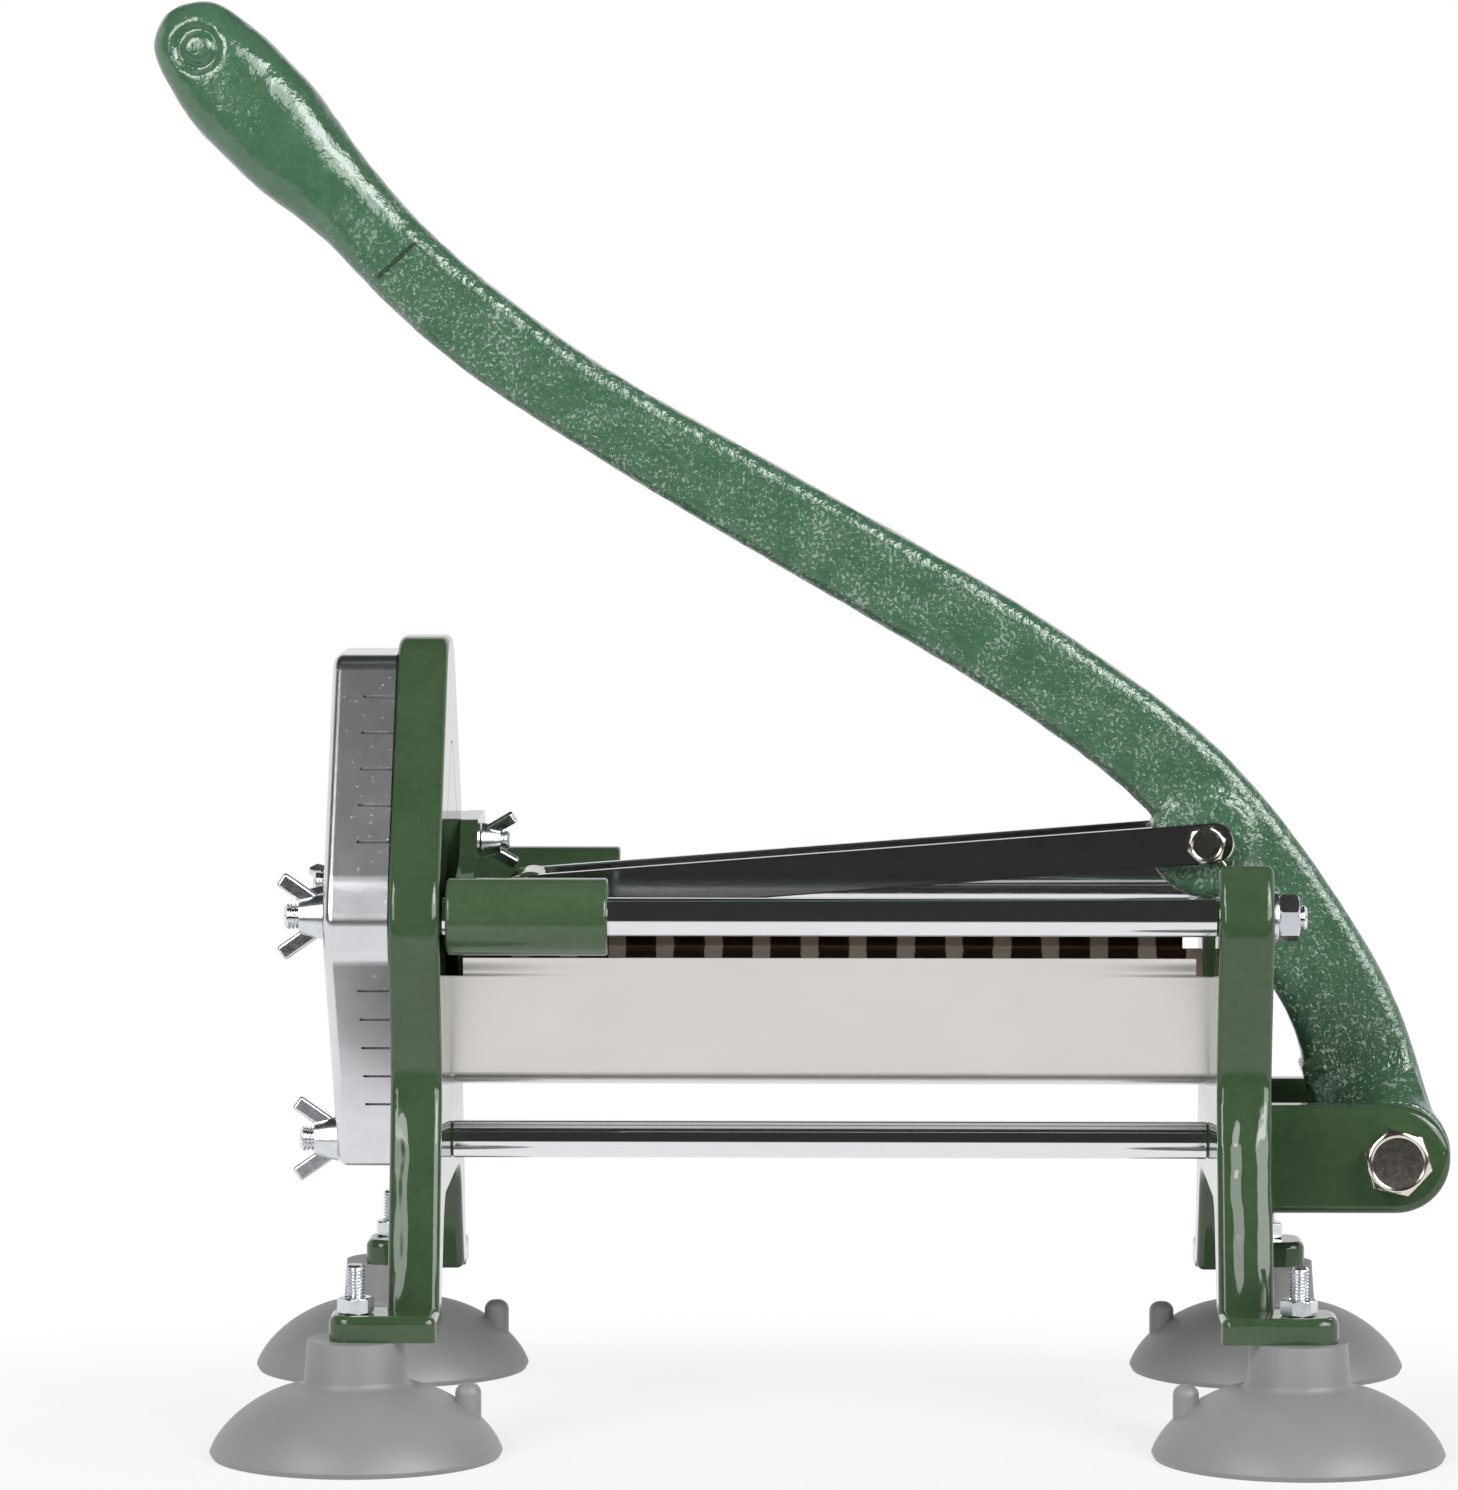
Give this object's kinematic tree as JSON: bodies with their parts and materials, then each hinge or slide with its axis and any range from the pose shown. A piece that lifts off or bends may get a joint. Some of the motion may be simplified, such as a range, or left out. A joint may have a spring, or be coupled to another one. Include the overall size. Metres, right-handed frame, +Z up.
{
  "type": "french fry cutter",
  "caption": "Lever press that pushes a potato lying in a V-shaped trough through a grid of blades, on four suction cups.",
  "frame": {"origin": "on the counter, under the middle of the machine's outline", "axes": "+X back from the blades towards the lever's pivot, +Y to the machine's right, +Z up from the counter"},
  "size_m": [0.408, 0.262, 0.4468],
  "materials": {
    "green_enamel": "glossy dark green paint on castings",
    "lever_enamel": "green paint over a rough sand casting",
    "polished_aluminium": "polished casting",
    "blade_steel": "ground stainless blades",
    "trough_steel": "bright stainless sheet",
    "chrome": "polished chrome plate",
    "zinc": "bright zinc plate",
    "nickel": "nickel plate",
    "cup_rubber": "matt grey rubber"
  },
  "bodies": {
    "frame": {"front_frame": "green_enamel", "rear_frame": "green_enamel", "blade_frame": "polished_aluminium", "blades_rising": "blade_steel", "blades_falling": "blade_steel", "trough": "trough_steel", "rod_left": "chrome", "rod_right": "chrome", "rod_lower": "chrome", "rod_nuts": "zinc", "rod_washers": "zinc", "pivot_bolt": "nickel", "pivot_washer": "nickel", "pivot_nut": "nickel", "cup_front_left": "cup_rubber", "cup_front_right": "cup_rubber", "cup_rear_left": "cup_rubber", "cup_rear_right": "cup_rubber", "foot_studs": "zinc", "foot_nuts": "zinc"},
    "carriage": {"carriage": "green_enamel", "pusher_block": "green_enamel", "pusher_studs": "zinc"},
    "lever": {"lever": "lever_enamel", "crank_bolt": "nickel", "crank_nut": "nickel"},
    "links": {"link_left": "chrome", "link_right": "chrome", "link_front_pins": "nickel"},
    "wing_nut_left": {"wing_nut_left": "zinc"},
    "wing_nut_right": {"wing_nut_right": "zinc"},
    "wing_nut_lower": {"wing_nut_lower": "zinc"},
    "pusher_wing_nut_upper": {"pusher_wing_nut_upper": "zinc"},
    "pusher_wing_nut_lower": {"pusher_wing_nut_lower": "zinc"}
  },
  "joints": [
    {"name": "lever_pivot", "type": "hinge", "parent": "frame", "child": "lever", "pos_m": [0.186, 0, 0.086], "axis": [0, 1, 0], "range_deg": [0, 110]},
    {"name": "carriage_slide", "type": "slide", "parent": "frame", "child": "carriage", "axis": [1, 0, 0], "range_m": [0, 0.1775]},
    {"name": "link_pivot", "type": "hinge", "parent": "lever", "child": "links", "pos_m": [0.1273, 0, 0.1828], "axis": [0, 1, 0], "range_deg": [-90, 0.5]},
    {"name": "wing_nut_left_turn", "type": "hinge", "parent": "frame", "child": "wing_nut_left", "pos_m": [-0.15, -0.0585, 0.1635], "axis": [-1, 0, 0], "continuous": true},
    {"name": "wing_nut_right_turn", "type": "hinge", "parent": "frame", "child": "wing_nut_right", "pos_m": [-0.15, 0.0585, 0.1635], "axis": [-1, 0, 0], "continuous": true},
    {"name": "wing_nut_lower_turn", "type": "hinge", "parent": "frame", "child": "wing_nut_lower", "pos_m": [-0.15, 0, 0.087], "axis": [-1, 0, 0], "continuous": true},
    {"name": "pusher_wing_nut_upper_turn", "type": "hinge", "parent": "carriage", "child": "pusher_wing_nut_upper", "pos_m": [-0.098, 0, 0.1825], "axis": [1, 0, 0], "continuous": true},
    {"name": "pusher_wing_nut_lower_turn", "type": "hinge", "parent": "carriage", "child": "pusher_wing_nut_lower", "pos_m": [-0.098, 0, 0.135], "axis": [1, 0, 0], "continuous": true}
  ],
  "couplings": [
    {"joint": "carriage_slide", "follows": "lever_pivot", "m_per_rad": 0.092283},
    {"joint": "link_pivot", "follows": "lever_pivot", "ratio": -0.81573}
  ]
}
